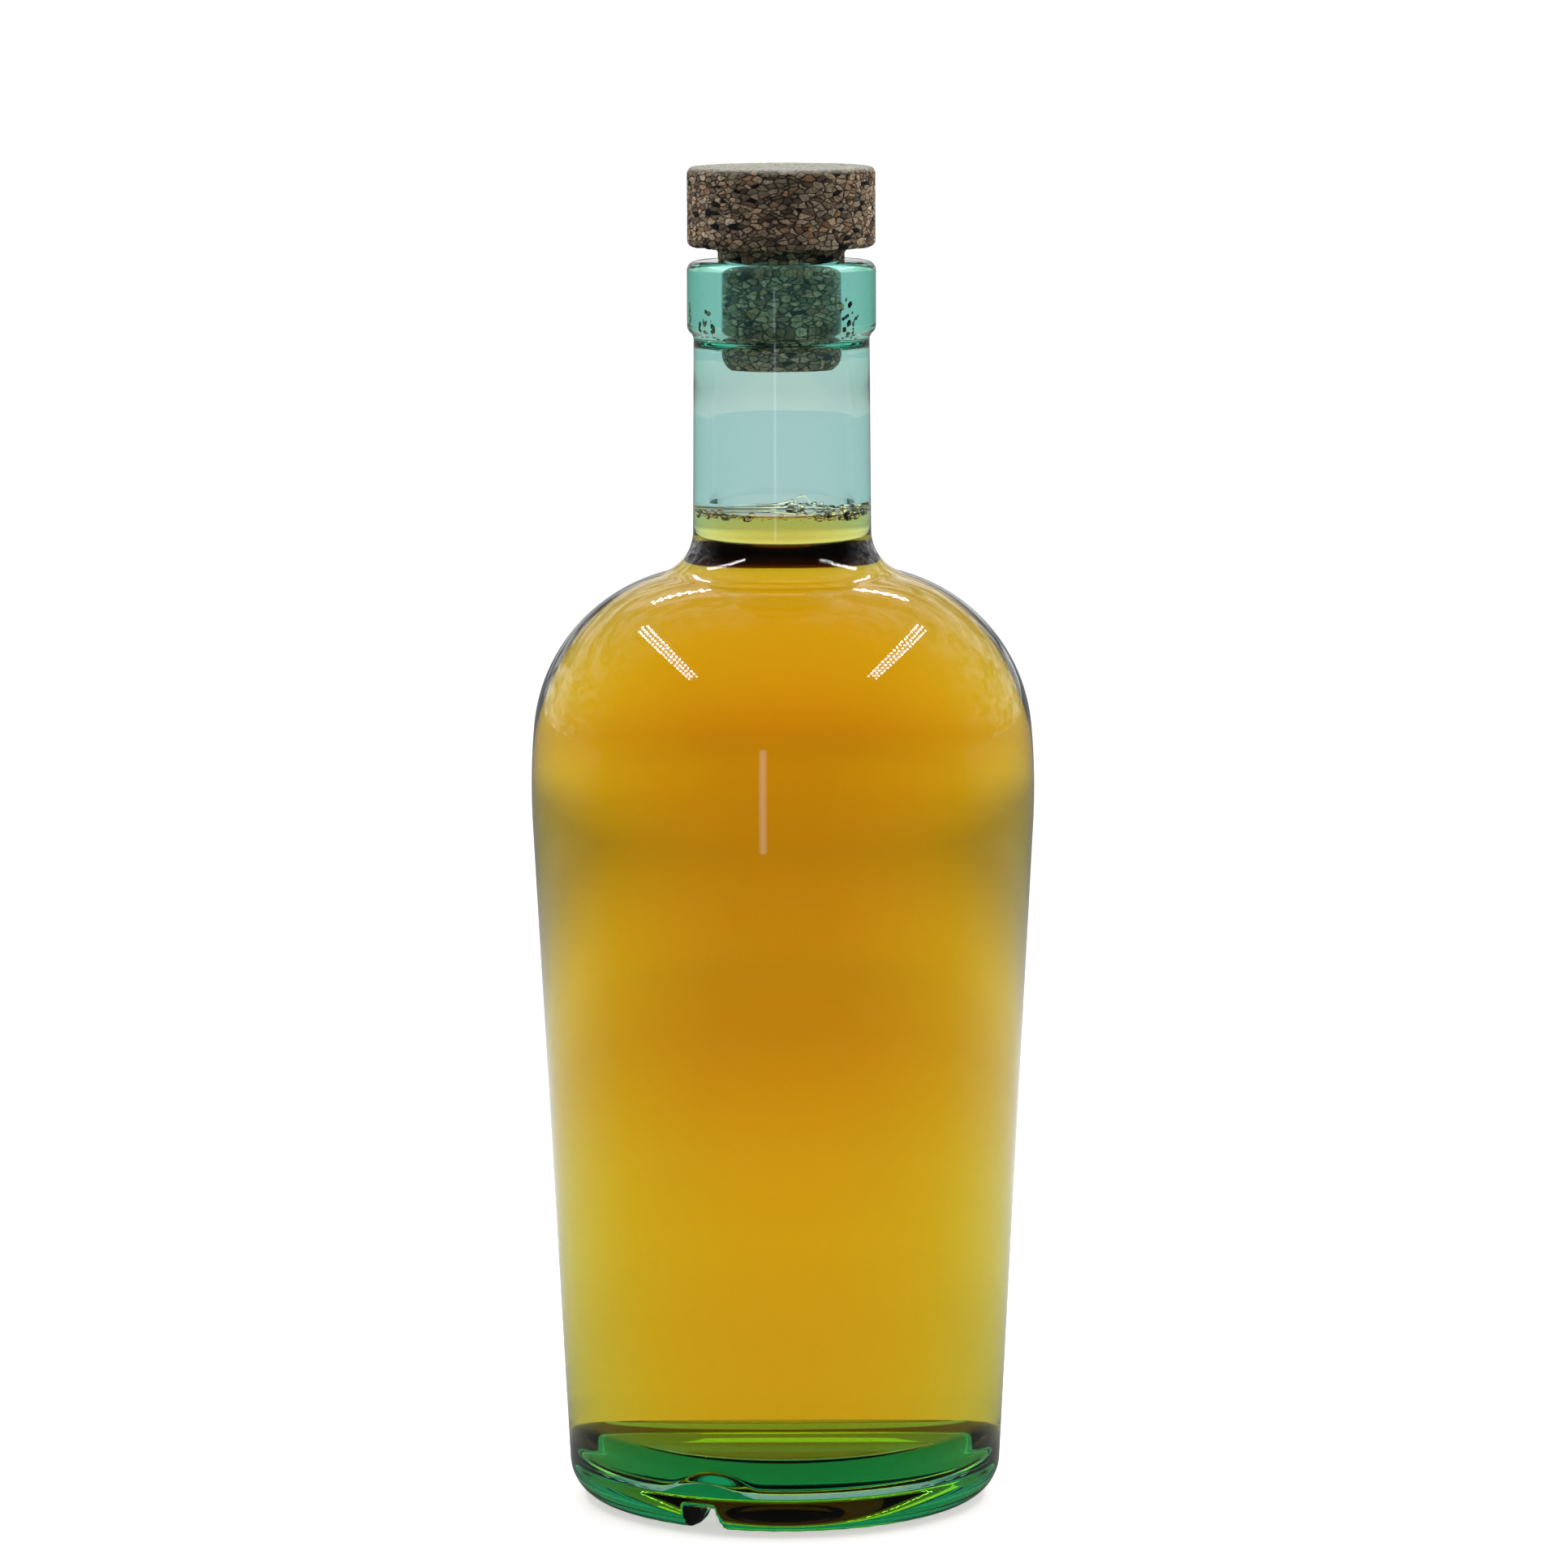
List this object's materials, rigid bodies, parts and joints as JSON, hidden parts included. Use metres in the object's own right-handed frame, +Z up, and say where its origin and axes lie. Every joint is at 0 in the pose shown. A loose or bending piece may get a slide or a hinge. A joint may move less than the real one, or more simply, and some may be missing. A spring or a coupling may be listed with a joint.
{
  "type": "corked glass bottle",
  "caption": "Round-shouldered aqua glass spirit bottle filled with an amber drink and closed by a one-piece cork stopper.",
  "frame": {"origin": "on the bottle's axis, at the plane of the bearing ring that it stands on", "axes": "+Z up along the bottle's axis; -Y is the front, and the registration notch in the heel lies 23.5 degrees to the left of it, towards -X"},
  "size_m": [0.089, 0.089, 0.2367],
  "materials": {
    "aqua_glass": "gloss",
    "amber_spirit": "gloss",
    "agglomerated_cork": "matte"
  },
  "bodies": {
    "root": {"bottle": "aqua_glass", "drink": "amber_spirit", "cork_stopper": "agglomerated_cork"}
  },
  "joints": []
}
